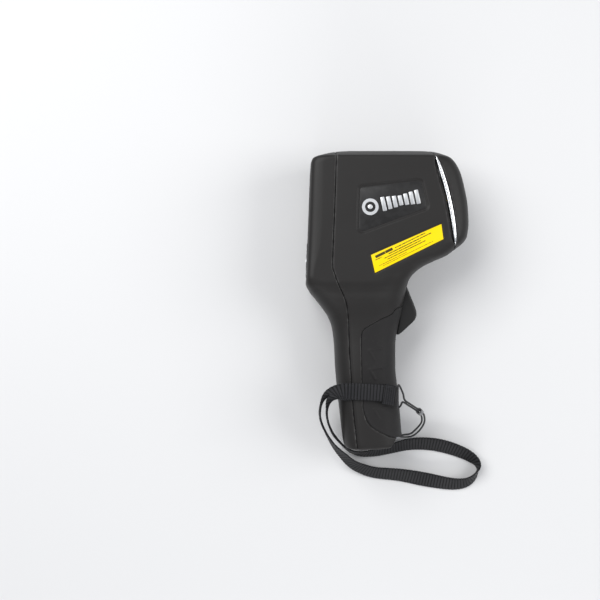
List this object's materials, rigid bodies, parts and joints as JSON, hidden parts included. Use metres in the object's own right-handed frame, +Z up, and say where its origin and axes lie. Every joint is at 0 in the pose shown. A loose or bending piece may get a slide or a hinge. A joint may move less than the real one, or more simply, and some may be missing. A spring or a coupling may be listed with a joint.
{
  "type": "thermal imaging camera",
  "caption": "Pistol-grip thermal camera lying on its side: head with rear display and front optics, trigger, soft grip, bright side trims and ribbed wrist strap.",
  "frame": {"origin": "bottom centre of the camera's box without its strap, as it lies on its left side", "axes": "+X is the way the lens looks, +Y is the camera's own up, from foot to crown, +Z is up from the surface it lies on, which is the camera's right side"},
  "size_m": [0.113, 0.2161, 0.0554],
  "materials": {
    "housing_plastic": "fine moulded texture",
    "grip_rubber": "soft touch",
    "bright_trim": "polished",
    "badge": "satin with silver bars",
    "label": "printed film",
    "window": "polished",
    "optics_panel": "polished",
    "lens_dark": "coated",
    "lens_pale": "infrared clear film",
    "key_rubber": "matt",
    "trigger_plastic": "satin",
    "steel": "plain",
    "brass": "turned",
    "aluminium": "machined",
    "dark_plastic": "plain",
    "board": "solder mask",
    "cell_wrap": "shrink film",
    "glass_module": "display stack",
    "webbing": "ribbed weave",
    "cord": "braided"
  },
  "bodies": {
    "camera": {"right_housing": "housing_plastic", "left_housing": "housing_plastic", "rear_housing": "housing_plastic", "front_bezel": "housing_plastic", "front_panel": "optics_panel", "trim_right": "bright_trim", "trim_left": "bright_trim", "badge_right": "badge", "badge_left": "badge", "label_right": "label", "grip_overmold": "grip_rubber", "trigger_pin": "steel", "trigger_spring": "steel", "trigger_switch": "dark_plastic", "foot_plate": "dark_plastic", "tripod_insert": "brass", "lanyard_bar": "steel", "display_window": "window", "display_module": "glass_module", "key_switches": "steel", "main_board": "board", "battery_cell": "cell_wrap", "port_board": "board", "usb_socket": "steel", "card_socket": "steel", "flap_pin": "steel", "optics_frame": "aluminium", "thermal_module": "dark_plastic", "thermal_lens": "lens_dark", "spot_tube": "dark_plastic", "spot_lens": "lens_pale", "laser_modules": "brass", "housing_screws": "steel", "strap_webbing": "webbing", "strap_stitch": "webbing", "lanyard_cord": "cord", "cord_bead": "steel"},
    "trigger": {"trigger": "trigger_plastic"},
    "up_key": {"key_up": "key_rubber"},
    "down_key": {"key_down": "key_rubber"},
    "left_key": {"key_left": "key_rubber"},
    "right_key": {"key_right": "key_rubber"},
    "power_key": {"key_power": "key_rubber"},
    "flap": {"port_flap": "grip_rubber"},
    "card": {"memory_card": "dark_plastic"}
  },
  "joints": [
    {"name": "trigger_pull", "type": "hinge", "parent": "camera", "child": "trigger", "pos_m": [0.0064, 0.01, 0.0275], "axis": [0, 0, -1], "range_deg": [0, 8], "stiffness_Nm_per_rad": 0.4},
    {"name": "up_key_press", "type": "slide", "parent": "camera", "child": "up_key", "axis": [0.9994, -0.0349, 0], "range_m": [0, 0.0005], "stiffness_N_per_m": 700},
    {"name": "down_key_press", "type": "slide", "parent": "camera", "child": "down_key", "axis": [0.9994, -0.0349, 0], "range_m": [0, 0.0005], "stiffness_N_per_m": 700},
    {"name": "left_key_press", "type": "slide", "parent": "camera", "child": "left_key", "axis": [0.9994, -0.0349, 0], "range_m": [0, 0.0005], "stiffness_N_per_m": 700},
    {"name": "right_key_press", "type": "slide", "parent": "camera", "child": "right_key", "axis": [0.9994, -0.0349, 0], "range_m": [0, 0.0005], "stiffness_N_per_m": 700},
    {"name": "power_key_press", "type": "slide", "parent": "camera", "child": "power_key", "axis": [0.9994, -0.0349, 0], "range_m": [0, 0.0005], "stiffness_N_per_m": 700},
    {"name": "flap_open", "type": "hinge", "parent": "camera", "child": "flap", "pos_m": [0.0045, 0.09, 0.0275], "axis": [0, 0, -1], "range_deg": [0, 110]},
    {"name": "card_slide", "type": "slide", "parent": "camera", "child": "card", "axis": [0, 1, 0], "range_m": [-0.0005, 0.0025]}
  ]
}
